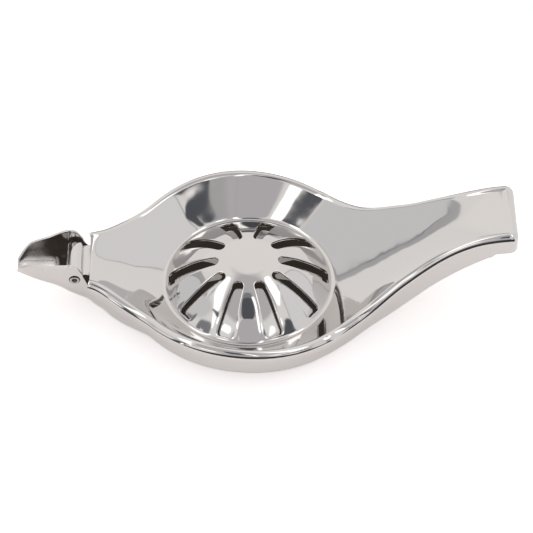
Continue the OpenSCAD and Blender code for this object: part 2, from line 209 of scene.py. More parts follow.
# Where the neck takes over from the round bowl, where the valley and the dish come in, and
# where the dish flattens out towards the end of the handle
NECK_FROM_X = 20
NECK_FULL_X = 50
VALLEY_FROM_X = 8
VALLEY_FULL_X = 34
DISH_FROM_X = 45
DISH_FULL_X = 62
FLAT_FROM_X = 80
FLAT_FULL_X = 104
FLAT_SHARE = 0.75


def plate_z(x, y):
    """Height of the press plate's upper face outside the ring."""
    x, y = np.asarray(x, float), np.asarray(y, float)
    r = np.hypot(x, y)
    run = smooth_max(r - RING_R, 0, FILLET)
    r = RING_R + run
    round_rise = BOWL_SLOPE * run
    neck_share = smooth_step(-x, NECK_FROM_X, NECK_FULL_X)
    hinge_rise = round_rise + (curve(NECK_RISE, r) - round_rise) * neck_share
    bent = np.maximum(0, r - HANDLE_BEND_X)
    handle_rise = HANDLE_SLOPE * run - (HANDLE_SLOPE - HANDLE_END_SLOPE) * bent ** 2 / (
        2 * (HANDLE_END_X - HANDLE_BEND_X))
    inward = 1 - (y / press_half(x)) ** 2
    valley = curve(VALLEY, r) * inward * smooth_step(-x, VALLEY_FROM_X, VALLEY_FULL_X)
    hinge_rise = hinge_rise - valley
    flat = FLAT_SHARE * smooth_step(x, FLAT_FROM_X, FLAT_FULL_X)
    dish = ((1 - inward * (1 - flat)) * smooth_step(np.abs(x), DISH_FROM_X, DISH_FULL_X)
            * np.where(x > 0, HANDLE_DISH, NECK_DISH))
    return PLATE_RING_Z + hinge_rise + (handle_rise - hinge_rise) * handleward(x, y) + dish


TRAY_BOWL_X = 40          # the floor's round part ends here, both ways

# Lift of the floor along the tray: up the keel of the beak, level at the bowl, up the handle
TRAY_LIFT = [
    (BEAK_TIP_X, BEAK_TIP_Z - 1.2),
    (BEAK_TIP_X + 3, BEAK_TIP_Z - 1.6),
    (BEAK_TIP_X + 9, BEAK_TIP_Z - 4),
    (-HINGE_X - 7, 7.4),
    (-HINGE_X, 2.6),
    (-HINGE_X + 5, 0.3),
    (-HINGE_X + 12, -0.5),
    (-TRAY_BOWL_X - 10, -0.9),
    (-TRAY_BOWL_X, -0.1),
    (-TRAY_BOWL_X + 6, 0),
    (TRAY_BOWL_X - 6, 0),
    (TRAY_BOWL_X, 0.3),
    (46, 2.2),
    (53, 4.5),
    (59, 6.7),
    (67, 11),
    (75, 16),
    (TRAY_END_X, TRAY_END_Z),
]


def tray_z(x, y):
    """Height of the tray's underside outside the ring."""
    x, y = np.asarray(x, float), np.asarray(y, float)
    r = np.hypot(np.minimum(np.abs(x), TRAY_BOWL_X), y)
    slope = TRAY_SLOPE + (TRAY_HANDLE_SLOPE - TRAY_SLOPE) * handleward(x, y)
    return np.maximum(0, slope * smooth_max(r - RING_R, 0, FILLET) + curve(TRAY_LIFT, x))


# The tray's wall runs into the ears here, and its edge meets the roll a little further on
EAR_ROOT_X = -NECK_X + 3
ROLL_MEET_X = -NECK_X + 14
# From here on the tray's sections lie square to its outline
SQUARE_FROM_X = -NECK_X + 16

# Half width of the beak and the ears
BEAK_HALF = [
    (BEAK_TIP_X, BEAK_TIP_W / 2),
    (BEAK_TIP_X + 3.5, BEAK_TIP_W / 2 + 3),
    (-HINGE_X - 12, EAR_HALF - 1.9),
    (-HINGE_X - 4, EAR_HALF),
    (-HINGE_X - 3, EAR_HALF),
    (-HINGE_X + 4, EAR_HALF),
    (-HINGE_X + 4.2, EAR_HALF),
    (EAR_ROOT_X, float(leaf_half(EAR_ROOT_X, TRAY_INSET))),
]


def tray_half(x):
    return np.where(x < EAR_ROOT_X, curve(BEAK_HALF, x), leaf_half(x, TRAY_INSET))


BEAK_ROUND = 0.9          # the beak is rounded across almost its whole width


def tray_bend(x):
    """Radius of the bend between the tray's floor and its wall."""
    full = BEAK_ROUND * tray_half(x)
    return full + (np.minimum(TRAY_BEND_R, full) - full) * smooth_step(x, -HINGE_X, SQUARE_FROM_X)


# Height of the beak's rim and of the ears, down to the wall at the ears' root
EAR_TOP_Z = HINGE_Z + EAR_RISE
RIM_EDGE = [
    (BEAK_TIP_X, BEAK_LIP_Z),
    (BEAK_TIP_X + 2.8, BEAK_LIP_Z + 3.4),
    (BEAK_TIP_X + 6.3, EAR_TOP_Z - 3),
    (-HINGE_X - 10.5, EAR_TOP_Z - 1.7),
    (-HINGE_X - 4, EAR_TOP_Z),
    (-HINGE_X + 0.2, EAR_TOP_Z - 0.4),
    (-HINGE_X + 2.6, HINGE_Z + 4.2),
    (-HINGE_X + 3.9, HINGE_Z + 0.5),
    (-HINGE_X + 5.8, HINGE_Z - 3.2),
    (EAR_ROOT_X, HINGE_Z - 4),
]


ROLL_RISE = ROLL_R * math.cos(math.radians(ROLL_LEAN))   # from the roll's centre to its start
UNDER_ROLL = 0.1          # height of the wall's edge above the level of the roll's centre


def tray_edge_z(x, lean):
    """Height of the top edge of the tray's wall. The roll over it starts further in, by lean."""
    ends = curve(RIM_EDGE, x)
    base = np.maximum(x - lean, -NECK_X)
    under = plate_z(base, press_half(base)) - ROLL_RISE + UNDER_ROLL
    wall = ends + (under - ends) * smooth_step(x, EAR_ROOT_X, ROLL_MEET_X)
    return np.where(x < EAR_ROOT_X, ends, wall)


def dome_z(r):
    """Height of a dome's upper face above its ring groove, rounded into the groove's flat."""
    u = np.maximum(0, r - CAP_R) / (DOME_FOOT_R - CAP_R)
    return smooth_max(DOME_H * (1 - u * u), 0, FILLET)


# The skirt runs out at the hinge end, and gets deeper along the neck and round the handle's end
HINGE_END_SKIRT = 0.15
HINGE_END_RUN = 4
NECK_SKIRT_EXTRA = 1.4
NECK_SKIRT_FROM_X = 40
NECK_SKIRT_FULL_X = 52
END_SKIRT_FROM_X = HANDLE_END_X - 19
END_SKIRT_FULL_X = HANDLE_END_X - 9


def skirt_drop(x):
    """Straight drop of the skirt below the roll."""
    handle_end = smooth_step(x, END_SKIRT_FROM_X, END_SKIRT_FULL_X)
    neck = smooth_step(-x, NECK_SKIRT_FROM_X, NECK_SKIRT_FULL_X)
    full = SKIRT_H + (END_SKIRT_H - SKIRT_H) * handle_end + NECK_SKIRT_EXTRA * neck
    past_end = smooth_step(x, -NECK_X, -NECK_X + HINGE_END_RUN)
    return HINGE_END_SKIRT + (full - HINGE_END_SKIRT) * past_end


# --- Building with Blender's tools ---

# Vertices this close are one, in millimetres: on a seam, between patches, in a folded sliver
SEAM_MERGE = 0.002
PATCH_MERGE = 0.01
SLIVER_MERGE = 0.001

SHEET_EDGE = 0.14         # width of the broken edge round a sheet
TAB_EDGE = 0.12
SHARP_ANGLE = 55          # degrees: edges sharper than this are broken
SMOOTH_ANGLE = 35         # degrees: faces that meet flatter than this shade as one


def deselect():
    if bpy.context.mode != "OBJECT":
        bpy.ops.object.mode_set(mode="OBJECT")
    bpy.ops.object.select_all(action="DESELECT")


def only(obj):
    deselect()
    obj.select_set(True)
    bpy.context.view_layer.objects.active = obj


def modify(obj, kind, **values):
    """Adds a modifier and applies it."""
    only(obj)
    m = obj.modifiers.new(kind, kind)
    for key, value in values.items():
        setattr(m, key, value)
    bpy.ops.object.modifier_apply(modifier=m.name)


def grid_piece(name, points):
    """A grid primitive whose vertices are laid on points (rows, columns, 3) in millimetres."""
    rows, cols = points.shape[:2]
    deselect()
    bpy.ops.mesh.primitive_grid_add(x_subdivisions=cols - 1, y_subdivisions=rows - 1, size=1)
    obj = bpy.context.active_object
    obj.name = name
    world = (points - np.array([MIDDLE_X, 0, 0])) * MM
    obj.data.vertices.foreach_set("co", world.reshape(-1, 3).astype(np.float32).ravel())
    obj.data.update()
    return obj


def edit_all(obj, operator, **values):
    """Runs an operator of Edit Mode on the whole mesh."""
    only(obj)
    bpy.ops.object.mode_set(mode="EDIT")
    bpy.ops.mesh.select_all(action="SELECT")
    operator(**values)
    bpy.ops.object.mode_set(mode="OBJECT")


def merge(obj, distance):
    edit_all(obj, bpy.ops.mesh.remove_doubles, threshold=distance * MM)


def face_outwards(obj):
    edit_all(obj, bpy.ops.mesh.normals_make_consistent, inside=False)


def face_floor(obj, up):
    """Turns an open skin's faces so that those of its floor point up, or down."""
    face_outwards(obj)
    area = sum(p.normal.z * p.area for p in obj.data.polygons)
    if (area > 0) != up:
        obj.data.flip_normals()


def join(name, parts):
    deselect()
    for p in parts:
        p.select_set(True)
    bpy.context.view_layer.objects.active = parts[0]
    bpy.ops.object.join()
    parts[0].name = name
    return parts[0]


def finish_sheet(obj, thickness, edge):
    """Gives a one-skin surface its thickness, away from its faces, and breaks its sharp edges."""
    modify(obj, "SOLIDIFY", thickness=thickness * MM, offset=-1, use_even_offset=True,
           use_quality_normals=True)
    modify(obj, "BEVEL", width=edge * MM, segments=2, limit_method="ANGLE",
           angle_limit=math.radians(SHARP_ANGLE), use_clamp_overlap=True)
    smooth(obj)


def smooth(obj, degrees=SMOOTH_ANGLE):
    only(obj)
    bpy.ops.object.shade_smooth_by_angle(angle=math.radians(degrees))


# --- Dome with slots: a patch between a slot's outline and the middle of the web beside it ---

RAYS = 361            # one ray for each degree, the last on the first
HALF_SECTOR = 18      # degrees
HUB_R = 11.0          # the patches run from this circle
COLLAR_R = 34.6       # to this one
WEB_T = (0, 0.28, 0.46, 0.64, 0.82, 1)    # shares of the way from slot to web, where rows lie
SLOT_ROUND_STEPS = 16
SLOT_SIDE_STEPS = 24
SLOT_CORNER_STEPS = 8
SLOT_END_STEPS = 8
HUB_ROWS = 12


def steps_to(end, count):
    """Equal steps from 0 to end, without the 0."""
    return np.linspace(0, end, count + 1)[1:]


def slot_outline():
    """Points (along, across) round half a slot: round inner end, side, outer corner, outer end."""
    half_in, half_out = SLOT_IN_W / 2, SLOT_OUT_W / 2
    cx = SLOT_IN_R + half_in
    pts = [(cx - half_in * math.cos(a), half_in * math.sin(a))
           for a in np.linspace(0, math.pi / 2, SLOT_ROUND_STEPS + 1)]
    c = SLOT_CORNER_R
    side_end = (SLOT_OUT_R - c, half_out - c * (half_out - half_in) / (SLOT_OUT_R - cx))
    for t in steps_to(1, SLOT_SIDE_STEPS):
        pts.append((cx + (side_end[0] - cx) * t, half_in + (side_end[1] - half_in) * t))
    for a in steps_to(math.pi / 2, SLOT_CORNER_STEPS):
        pts.append((SLOT_OUT_R - c + c * math.sin(a), side_end[1] - c + c * math.cos(a)))
    end_w = side_end[1] - c
    for t in steps_to(1, SLOT_END_STEPS):
        pts.append((SLOT_OUT_R, end_w * (1 - t)))
    return np.array(pts)


def web_patch():
    """Half web in polar form (radius, angle from the slot's middle in degrees): one row for each
    point of the slot's outline, running to the hub's circle, the web's middle or the collar."""
    pts = slot_outline()
    n = len(pts)
    far_r, far_a = np.empty(n), np.empty(n)
    far_r[:HALF_SECTOR + 1], far_a[:HALF_SECTOR + 1] = HUB_R, np.arange(HALF_SECTOR + 1)
    far_r[-HALF_SECTOR - 1:] = COLLAR_R
    far_a[-HALF_SECTOR - 1:] = np.arange(HALF_SECTOR, -1, -1)
    side = slice(HALF_SECTOR, n - HALF_SECTOR)
    far_r[side] = np.linspace(HUB_R, COLLAR_R, len(far_r[side]))
    far_a[side] = HALF_SECTOR
    t = np.array(WEB_T)[None, :]
    x = pts[:, :1] * (1 - t) + (far_r * np.cos(np.radians(far_a)))[:, None] * t
    y = pts[:, 1:] * (1 - t) + (far_r * np.sin(np.radians(far_a)))[:, None] * t
    return np.hypot(x, y), np.degrees(np.arctan2(y, x))


def to_xyz(r, degrees, z):
    a = np.radians(degrees)
    return np.stack([r * np.cos(a), r * np.sin(a), z], -1)


def slotted_dome():
    r, a = web_patch()
    parts = []
    for k in range(SLOTS):
        middle = -90 + (2 * k + 1) * HALF_SECTOR
        for hand in (1, -1):
            parts.append(grid_piece("web", to_xyz(r, middle + hand * a, PLATE_RING_Z + dome_z(r))))
    angle = np.arange(RAYS)[None, :]
    hub_r = np.linspace(0, HUB_R, HUB_ROWS)[:, None] + 0 * angle
    parts.append(grid_piece("hub", to_xyz(hub_r, angle + 0 * hub_r, PLATE_RING_Z + dome_z(hub_r))))
    return parts


# --- Ring groove and bowl: rays from the ring to the place where the rim starts to roll ---

# Closer together where the groove meets the dome and the bowl
GROOVE_RADII = (COLLAR_R, 34.75, 34.9, 35.1, 35.35, 35.55, 35.7,
                35.85, 36.0, 36.15, 36.3, 36.5, 36.8, 37.2)


def groove(name, height):
    """Turned strip across the ring groove, as far as the start of the bowl's rays."""
    angle = np.arange(RAYS)[None, :]
    r = np.array(GROOVE_RADII)[:, None] + 0 * angle
    pts = to_xyz(r, angle + 0 * r, 0 * r)
    pts[..., 2] = height(r, pts[..., 0], pts[..., 1])
    return grid_piece(name, pts)


HANDLE_LINE_X = 44.0      # the bowl's rays end on these lines, where the long ends' grids start
NECK_LINE_X = -44.0
HANDLE_RAYS = 34          # of half the rays, those that end on each line
NECK_RAYS = 31
HANDLE_ROWS = 44          # rows along each part of a sheet
NECK_ROWS = 16
PRESS_BOWL_ROWS = 28
TRAY_BOWL_ROWS = 26
OUTLINE_SAMPLES = 3000


def even_points(half, start_x, end_x, count):
    """Values of x that cut a side into equal lengths."""
    x = np.linspace(start_x, end_x, OUTLINE_SAMPLES)
    s = np.r_[0, np.cumsum(np.hypot(np.diff(x), np.diff(half(x))))]
    return np.interp(np.linspace(0, s[-1], count), s, x)


def bowl_side_x(half):
    return even_points(half, NECK_LINE_X, HANDLE_LINE_X, (RAYS + 1) // 2 - HANDLE_RAYS - NECK_RAYS)


def both_sides(points):
    """Points of one side, then the same mirrored and back."""
    return np.vstack([points, points[::-1][1:] * [1, -1]])


def bowl_rays(name, half, height, rows):
    """Strip from the groove to the bowl's sides and to the two lines, straight in plan."""
    side_x = bowl_side_x(half)[::-1]
    on_handle = np.linspace(0, 1, HANDLE_RAYS + 1)[:-1] * half(HANDLE_LINE_X)
    on_neck = np.linspace(1, 0, NECK_RAYS + 1)[1:] * half(NECK_LINE_X)
    ends = np.vstack([
        np.column_stack([np.full(HANDLE_RAYS, HANDLE_LINE_X), on_handle]),
        np.column_stack([side_x, half(side_x)]),
        np.column_stack([np.full(NECK_RAYS, NECK_LINE_X), on_neck]),
    ])
    ends = both_sides(ends)
    start = to_xyz(np.full(RAYS, GROOVE_RADII[-1]), np.arange(RAYS), np.zeros(RAYS))[:, :2]
    t = np.linspace(0, 1, rows)[:, None, None]
    plan = start[None] * (1 - t) + ends[None] * t
    x, y = plan[..., 0], plan[..., 1]
    return grid_piece(name, np.stack([x, y, height(x, y)], -1))


def end_grid(name, half, height, stations, rays):
    """Floor of a long end: stations along it, as many columns across as rays end on its line."""
    v = np.linspace(-1, 1, 2 * rays + 1)[None, :]
    x = np.asarray(stations)[:, None] + 0 * v
    y = half(x) * v
    return grid_piece(name, np.stack([x, y, height(x, y)], -1))


CORNER_STEPS = 12


def rim_line(half, slope, neck_x, handle_x):
    """A rim's base points and outward directions: side, corner, end of the handle, and back."""
    x = np.r_[neck_x[:-1], bowl_side_x(half)[:-1], handle_x]
    k = slope(x)
    n = np.hypot(k, 1)
    base, out = [np.column_stack([x, half(x)])], [np.column_stack([-k / n, 1 / n])]
    corner = base[0][-1]
    turn = np.linspace(0, math.pi / 2, CORNER_STEPS + 1)[1:-1]
    base.append(np.tile(corner, (len(turn), 1)))
    out.append(np.column_stack([np.sin(turn), np.cos(turn)]))
    y = np.linspace(1, 0, HANDLE_RAYS + 1) * corner[1]
    base.append(np.column_stack([np.full(len(y), corner[0]), y]))
    out.append(np.tile([1.0, 0.0], (len(y), 1)))
    return both_sides(np.vstack(base)), both_sides(np.vstack(out))


def press_groove_z(r, x, y):
    return np.where(r < RING_R - RING_FLAT / 2, PLATE_RING_Z + dome_z(r), plate_z(x, y))


ROLL_STEPS = 14
SKIRT_SHARES = (0.5, 1)


def press_roll(neck_x, handle_x):
    """Rolled rim and skirt, from one side of the hinge end round the handle to the other."""
    base, out = rim_line(press_half, press_slope, neck_x, handle_x)
    start_z = plate_z(base[:, 0], base[:, 1])
    drop = skirt_drop(base[:, 0])
    rows = []
    lean = math.radians(ROLL_LEAN)
    for a in np.linspace(-lean, math.pi / 2, ROLL_STEPS + 1):
        run = ROLL_R * (math.sin(lean) + math.sin(a))
        rise = ROLL_R * math.cos(a) - ROLL_RISE
        rows.append(np.column_stack([base + out * run, start_z + rise]))
    for share in SKIRT_SHARES:
        rows.append(np.column_stack([base + out * ROLL_RUN, start_z - ROLL_RISE - drop * share]))
    return grid_piece("roll", np.array(rows))


TAB_RUNS = (0.02, 0.8, 1.6)   # from the neck's end, where the tab's flat rows lie
TAB_DISH_RUN = 3.0            # along which the tab loses the neck's dish
TAB_FILLET_R = 0.5            # between the tab and its curl
TAB_THINNER = 0.02            # so that its underside stays clear of the plate's
CURL_ANGLE = 318              # degrees that the tab is curled round the pin
CURL_STEPS = 59
FILLET_STEPS = 5
TAB_COLUMNS = 9


def knuckle():
    """Tab from the plate's hinge end, curled round the pin."""
    top = HINGE_Z + SHEET / 2
    reach = KNUCKLE_R + TAB_FILLET_R
    lift = math.asin((SHEET / 2 + TAB_FILLET_R) / reach)
    fillet_x = -HINGE_X + reach * math.cos(lift)
    fillet_z = HINGE_Z + reach * math.sin(lift)
    path = [(-NECK_X - run, top) for run in TAB_RUNS]
    for a in np.linspace(-math.pi / 2, -math.pi + lift, FILLET_STEPS + 1):
        path.append((fillet_x + TAB_FILLET_R * math.cos(a), fillet_z + TAB_FILLET_R * math.sin(a)))
    for a in lift + steps_to(math.radians(CURL_ANGLE), CURL_STEPS):
        path.append((-HINGE_X + KNUCKLE_R * math.cos(a), HINGE_Z + KNUCKLE_R * math.sin(a)))
    path = np.array(path)
    y = np.linspace(-KNUCKLE_LEN / 2, KNUCKLE_LEN / 2, TAB_COLUMNS)[None, :]
    x, z = path[:, :1] + 0 * y, path[:, 1:] + 0 * y
    y = y + 0 * x
    dish = NECK_DISH * (y / press_half(-NECK_X)) ** 2
    z = z + dish * smooth_step(x, -NECK_X - TAB_DISH_RUN, -NECK_X) * (z > HINGE_Z)
    return grid_piece("knuckle", np.stack([x, y, z], -1))


def build_press_plate():
    handle_x = np.linspace(HANDLE_LINE_X, HANDLE_END_X - ROLL_RUN, HANDLE_ROWS + 1)
    neck_x = np.linspace(-NECK_X, NECK_LINE_X, NECK_ROWS + 1)
    parts = slotted_dome() + [
        groove("groove", press_groove_z),
        bowl_rays("bowl", press_half, plate_z, PRESS_BOWL_ROWS),
        end_grid("handle", press_half, plate_z, handle_x, HANDLE_RAYS),
        end_grid("neck", press_half, plate_z, neck_x, NECK_RAYS),
        press_roll(neck_x, handle_x),
    ]
    plate = join("press_plate_sheet", parts)
    merge(plate, PATCH_MERGE)
    face_floor(plate, up=True)
    finish_sheet(plate, SHEET, SHEET_EDGE)
    tab = knuckle()
    face_floor(tab, up=True)
    finish_sheet(tab, SHEET - TAB_THINNER, TAB_EDGE)
    return join("press_plate_sheet", [plate, tab])


# --- Juice tray ---

def tray_floor_half(x):
    """Half width of the tray's floor, up to where the bend to the wall starts."""
    x = np.asarray(x, float)
    bend = tray_bend(x)
    plain = tray_half(x) - bend
    square = smooth_step(x, EAR_ROOT_X, SQUARE_FROM_X)
    return plain + (leaf_half(x, TRAY_INSET + bend) - plain) * square


def tray_floor_slope(x):
    return leaf_slope(x, TRAY_INSET + tray_bend(x)) * smooth_step(x, EAR_ROOT_X, SQUARE_FROM_X)


BEND_STEPS = 11
WALL_STEPS = 8
BEAK_ROWS = 60
END_CLEARANCE = 0.6       # between the top of the tray's end wall and the press plate
TRAY_INNER_END_X = TRAY_END_X - TRAY_BEND_R


def tray_wall_rows(base, out):
    """Rows of points up the bend and the wall, from base points and outward directions."""
    radius = tray_bend(base[:, 0])
    floor_z = tray_z(base[:, 0], base[:, 1])
    rows = []
    for a in np.linspace(0, math.pi / 2, BEND_STEPS + 1):
        rows.append(np.column_stack([base + out * (radius * math.sin(a))[:, None],
                                     floor_z + radius * (1 - math.cos(a))]))
    x, y, z = rows[-1].T
    edge = tray_edge_z(x, out[:, 0] * (ROLL_RUN - TRAY_INSET))
    at_end = base[:, 0] > TRAY_INNER_END_X - PATCH_MERGE
    edge = np.where(at_end, np.minimum(edge, plate_z(x, y) - SHEET - END_CLEARANCE), edge)
    for share in steps_to(1, WALL_STEPS):
        rows.append(np.column_stack([x, y, z + (edge - z) * share]))
    return np.array(rows)


def beak_sections():
    """Neck, ears and beak: a section from wall edge to wall edge at each of the stations, with
    its points at the same shares of its length throughout."""
    shares, sections = None, []
    for x in np.linspace(NECK_LINE_X, BEAK_TIP_X, BEAK_ROWS + 1):
        half = float(tray_floor_half(x))
        slope = float(tray_floor_slope(x))
        n = math.hypot(slope, 1)
        wall = tray_wall_rows(np.array([[x, half]]), np.array([[-slope / n, 1 / n]]))[:, 0]
        y = np.linspace(1, -1, 2 * NECK_RAYS + 1)[1:-1] * half
        floor = np.column_stack([np.full(len(y), x), y, tray_z(x, y)])
        line = np.vstack([wall[::-1], floor, wall * [1, -1, 1]])
        s = np.r_[0, np.cumsum(np.linalg.norm(np.diff(line, axis=0), axis=1))]
        s /= s[-1]
        if shares is None:
            shares = s
        sections.append(np.column_stack([np.interp(shares, s, line[:, i]) for i in range(3)]))
    return grid_piece("beak", np.array(sections))


DOME_SAMPLES = 60
CAP_ROWS = 6
DOME_ROWS = 29


def tray_dome():
    """Underside of the tray's dome: a sheet's thickness under its upper face, square to it."""
    angle = np.arange(RAYS)[None, :]
    r = np.r_[0, np.linspace(CAP_R, DOME_FOOT_R, DOME_SAMPLES)]
    slope = -2 * DOME_H * np.maximum(0, r - CAP_R) / (DOME_FOOT_R - CAP_R) ** 2
    n = np.hypot(slope, 1)
    under_r = np.maximum(r + SHEET * slope / n, 0)
    under_z = SHEET + dome_z(r) - SHEET / n
    rows = np.r_[np.linspace(0, CAP_R, CAP_ROWS), CAP_R + steps_to(COLLAR_R - CAP_R, DOME_ROWS)]
    # past the dome's foot the groove's level takes over
    z = smooth_max(np.interp(rows, under_r, under_z, right=-1), 0, FILLET)
    pts = to_xyz(rows[:, None] + 0 * angle, angle + 0 * rows[:, None], z[:, None] + 0 * angle)
    pts[-1, :, 2] = tray_z(pts[-1, :, 0], pts[-1, :, 1])
    return grid_piece("dome", pts)


def build_juice_tray():
    handle_x = np.linspace(HANDLE_LINE_X, TRAY_INNER_END_X, HANDLE_ROWS + 1)
    rim = rim_line(tray_floor_half, tray_floor_slope, [NECK_LINE_X], handle_x)
    parts = [
        tray_dome(),
        groove("tray_groove", lambda r, x, y: tray_z(x, y)),
        bowl_rays("tray_floor", tray_floor_half, tray_z, TRAY_BOWL_ROWS),
        end_grid("channel", tray_floor_half, tray_z, handle_x, HANDLE_RAYS),
        beak_sections(),
        grid_piece("wall", tray_wall_rows(*rim)),
    ]
    tray = join("juice_tray_sheet", parts)
    merge(tray, PATCH_MERGE)
    face_floor(tray, up=False)
    finish_sheet(tray, SHEET, SHEET_EDGE)
    merge(tray, SLIVER_MERGE)
    return tray


# --- Hinge pin: a tube with flared heads ---

PIN_TURNS = 64
PIN_SMOOTH_ANGLE = 40


def build_hinge_pin():
    reach = EAR_HALF + PIN_HEAD_GAP
    # radius and distance from the middle: bore, flared mouth, rounded head, shank
    profile = [
        (PIN_BORE_R, 0),
        (PIN_BORE_R, reach - 0.4),
        (PIN_BORE_R + 0.15, reach + PIN_HEAD_T * 0.55),
        (PIN_BORE_R + 0.4, reach + PIN_HEAD_T * 0.95),
        (PIN_HEAD_R - 0.55, reach + PIN_HEAD_T),
        (PIN_HEAD_R - 0.15, reach + PIN_HEAD_T * 0.8),
        (PIN_HEAD_R, reach + PIN_HEAD_T * 0.45),
        (PIN_HEAD_R - 0.05, reach),
        (PIN_R, reach),
        (PIN_R, 0),
    ]
    r, y = both_sides(np.array(profile)).T[:, :, None]
    turn = np.linspace(0, 2 * math.pi, PIN_TURNS + 1)[None, :]
    x = -HINGE_X + r * np.cos(turn)
    z = HINGE_Z + r * np.sin(turn)
    pin = grid_piece("hinge_pin_rivet", np.stack([x, y + 0 * x, z], -1))
    merge(pin, SEAM_MERGE)
    face_outwards(pin)
    smooth(pin, PIN_SMOOTH_ANGLE)
    return pin


press_plate = build_press_plate()
juice_tray = build_juice_tray()
hinge_pin = build_hinge_pin()

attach(press_plate, "press")
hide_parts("press_plate")
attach(juice_tray, "tray")
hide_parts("juice_tray")
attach(hinge_pin, "tray")
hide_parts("hinge_pin")


# --- Shader nodes ---

def shader_node(tree, kind, inputs=None, **settings):
    """New shader node with its settings, and with a link or a constant for each input named."""
    node = tree.nodes.new("ShaderNode" + kind)
    for key, value in settings.items():
        setattr(node, key, value)
    for key, value in (inputs or {}).items():
        if isinstance(value, bpy.types.NodeSocket):
            tree.links.new(value, node.inputs[key])
        else:
            node.inputs[key].default_value = value
    return node


def math_node(tree, operation, a, b=0.0, clamp=False):
    return shader_node(tree, "Math", {0: a, 1: b}, operation=operation, use_clamp=clamp).outputs[0]


def length_node(tree, a, b):
    """Length of the vector (a, b)."""
    squares = [math_node(tree, "MULTIPLY", side, side) for side in (a, b)]
    return math_node(tree, "SQRT", math_node(tree, "ADD", *squares))


def soft_ramp(tree, value, start, end):
    """Rises from 0 at start to 1 at end, with a soft foot and a soft top."""
    return shader_node(tree, "MapRange", {"Value": value, "From Min": start, "From Max": end},
                       interpolation_type="SMOOTHSTEP").outputs[0]


def mix_color(tree, share, first, second):
    return shader_node(tree, "Mix", {0: share, 6: first, 7: second}, data_type="RGBA").outputs[2]


def noise(tree, place, scale, detail):
    inputs = {"Vector": place, "Scale": scale, "Detail": detail}
    return shader_node(tree, "TexNoise", inputs).outputs[0]


def new_group(name, inputs, outputs):
    """Node group with sockets of the kinds given: its tree, what it is given, and its results."""
    tree = bpy.data.node_groups.new(name, "ShaderNodeTree")
    for way, sockets in (("INPUT", inputs), ("OUTPUT", outputs)):
        for socket, kind in sockets.items():
            tree.interface.new_socket(socket, in_out=way, socket_type="NodeSocket" + kind)
    given = tree.nodes.new("NodeGroupInput").outputs
    results = tree.nodes.new("NodeGroupOutput").inputs
    return tree, given, results


def new_material(name):
    material = bpy.data.materials.new(name)
    material.use_nodes = True
    material.node_tree.nodes.clear()
    return material


# --- Finishes ---

SCRATCH_STRETCH = (90, 1100, 400)   # for each metre: fine and long, along the sheet
SCRATCH_TURN = (0, 0, 0.35)
SCRATCH_HEIGHT = 0.00002            # metres
DENT_SCALE = 75
DENT_HEIGHT = 0.00009
WIPE_SCALE = 60
WIPE_LOW = 0.35                     # of the noise: below it the finish is at its smoothest
WIPE_HIGH = 0.7


def wiping_marks_group():
    """Faint dents, fine scratches and wiping marks: a normal and a roughness from the place."""
    tree, given, results = new_group(
        "wiping_marks",
        {"Depth": "Float", "Rough low": "Float", "Rough high": "Float"},
        {"Normal": "Vector", "Roughness": "Float"})
    place = shader_node(tree, "TexCoord").outputs["Object"]
    dents = shader_node(tree, "Bump", {
        "Strength": 1,
        "Distance": DENT_HEIGHT,
        "Height": noise(tree, place, DENT_SCALE, 1.5),
    })
    stretched = shader_node(tree, "Mapping", {
        "Vector": place,
        "Rotation": SCRATCH_TURN,
        "Scale": SCRATCH_STRETCH,
    })
    scratches = shader_node(tree, "Bump", {
        "Strength": given["Depth"],
        "Distance": SCRATCH_HEIGHT,
        "Height": noise(tree, stretched.outputs[0], 1, 3),
        "Normal": dents.outputs[0],
    })
    wiped = shader_node(tree, "MapRange", {
        "Value": noise(tree, place, WIPE_SCALE, 4),
        "From Min": WIPE_LOW,
        "From Max": WIPE_HIGH,
        "To Min": given["Rough low"],
        "To Max": given["Rough high"],
    })
    tree.links.new(scratches.outputs[0], results["Normal"])
    tree.links.new(wiped.outputs[0], results["Roughness"])
    return tree


# Spans in millimetres over which a mask rises or falls: out from the pin's axis, out from the
# middle of the pin, and along the beak from the pin
# painted shade: the pin's bore, and a ring on the ears round the pin's heads, are darkened where
# shade falls
BORE_SHADE = (PIN_BORE_R + 0.02, PIN_BORE_R + 0.3)
RING_SHADE_IN = (PIN_HEAD_R - 0.2, PIN_HEAD_R)
RING_SHADE_OUT = (PIN_HEAD_R + 0.05, PIN_HEAD_R + 0.45)
EAR_FACE = (EAR_HALF - 0.3, EAR_HALF - 0.1)
SATIN_BEAK = (-15, -5)


def hinge_group():
    """Masks by place: painted shade in the pin's bore and round its heads, satin towards the beak's
    tip.
    """
    tree, _, results = new_group("hinge_places", {}, {"Painted shade": "Float", "Satin": "Float"})
    place = shader_node(tree, "TexCoord").outputs["Object"]
    x, y, z = shader_node(tree, "SeparateXYZ", {0: place}).outputs
    from_pin_x = math_node(tree, "ADD", x, (HINGE_X + MIDDLE_X) * MM)
    from_pin_z = math_node(tree, "SUBTRACT", z, HINGE_Z * MM)
    out = math_node(tree, "ABSOLUTE", y)
    far = length_node(tree, from_pin_x, from_pin_z)

    def rising(value, span):
        return soft_ramp(tree, value, span[0] * MM, span[1] * MM)

    def falling(value, span):
        return math_node(tree, "SUBTRACT", 1, rising(value, span), clamp=True)

    # painted shade: a thin dark ring on the ear faces just outside the pin's head
    ring = math_node(tree, "MULTIPLY", rising(far, RING_SHADE_IN), falling(far, RING_SHADE_OUT))
    ring = math_node(tree, "MULTIPLY", ring, rising(out, EAR_FACE))
    painted_shade = math_node(tree, "MAXIMUM", falling(far, BORE_SHADE), ring)
    tree.links.new(painted_shade, results["Painted shade"])
    tree.links.new(falling(from_pin_x, SATIN_BEAK), results["Satin"])
    return tree


MARKS = wiping_marks_group()
HINGE = hinge_group()
